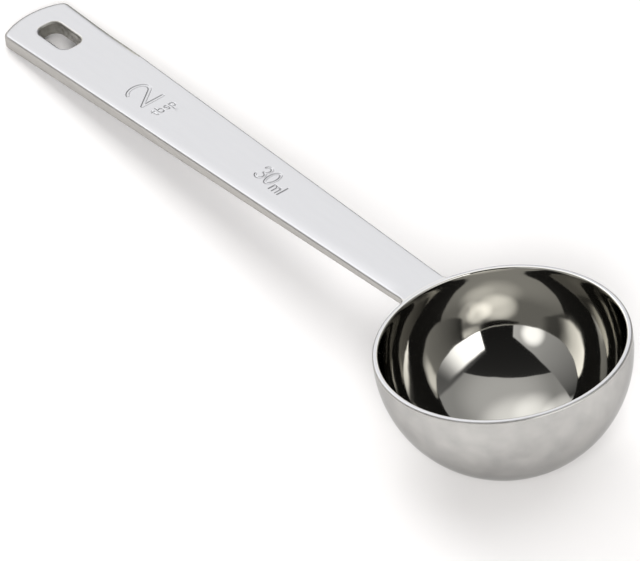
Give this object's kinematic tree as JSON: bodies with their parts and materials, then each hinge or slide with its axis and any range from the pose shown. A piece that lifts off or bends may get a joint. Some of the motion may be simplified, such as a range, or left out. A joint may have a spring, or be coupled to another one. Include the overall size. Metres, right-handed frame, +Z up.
{
  "type": "measuring spoon",
  "caption": "Stainless steel measuring scoop: deep round bowl, welded to a long flat tapering handle with a hanging slot.",
  "frame": {"origin": "on the table under the middle of the spoon's footprint, with the spoon lying on the bottom of its bowl and the tip of its handle", "axes": "+X from the tip of the handle towards the bowl, +Z up from the table, +Y across the handle"},
  "size_m": [0.1732, 0.0492, 0.0299],
  "materials": {
    "bowl_steel": "mirror polished inside, satin polished outside",
    "handle_steel": "fine satin",
    "weld_steel": "ground and polished"
  },
  "bodies": {
    "root": {"bowl": "bowl_steel", "handle": "handle_steel", "weld": "weld_steel"}
  },
  "joints": []
}
